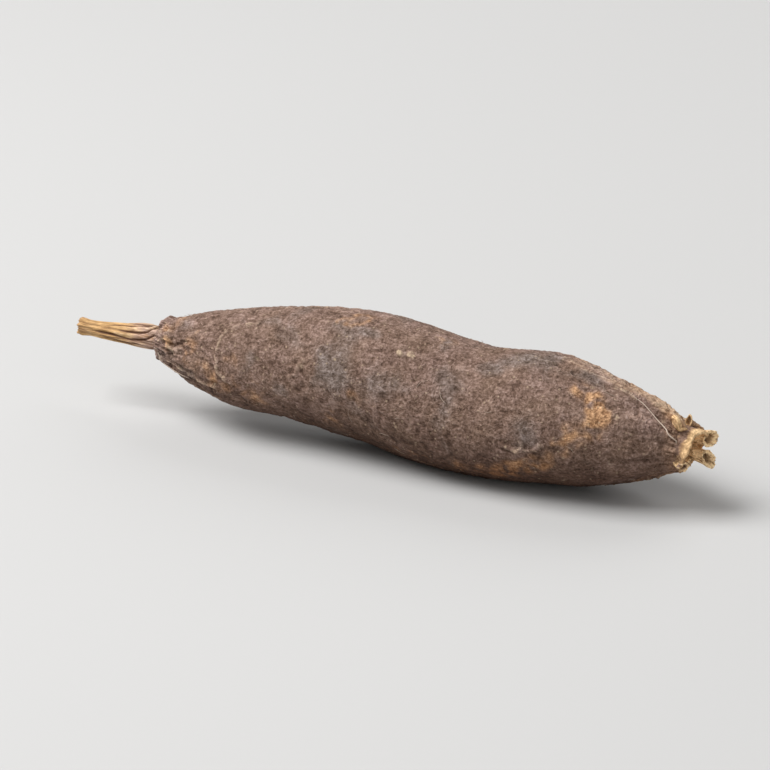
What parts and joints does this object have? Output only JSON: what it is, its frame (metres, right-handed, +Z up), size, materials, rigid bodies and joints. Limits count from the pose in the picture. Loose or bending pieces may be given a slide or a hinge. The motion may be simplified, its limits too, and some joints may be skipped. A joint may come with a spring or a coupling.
{
  "type": "peony root",
  "caption": "Dried peony root lying on its side: a spindle-shaped tuber with a short ribbed stalk stub at one end and a torn, hollow crown of stem bases at the other.",
  "frame": {"origin": "centre of the small flat spot under the belly, on which the root lies", "axes": "+X along the root from the stalk stub to the torn crown, +Z up, -Y towards the side that the picture shows"},
  "size_m": [0.1041, 0.0206, 0.0214],
  "materials": {
    "root_skin": "dry felt-like corky skin, matt",
    "stalk_straw": "dry ribbed straw, slight sheen",
    "crown_straw": "torn straw and dry pith, matt"
  },
  "bodies": {
    "root": {"tuber": "root_skin", "stalk_stub": "stalk_straw", "torn_crown": "crown_straw"}
  },
  "joints": []
}
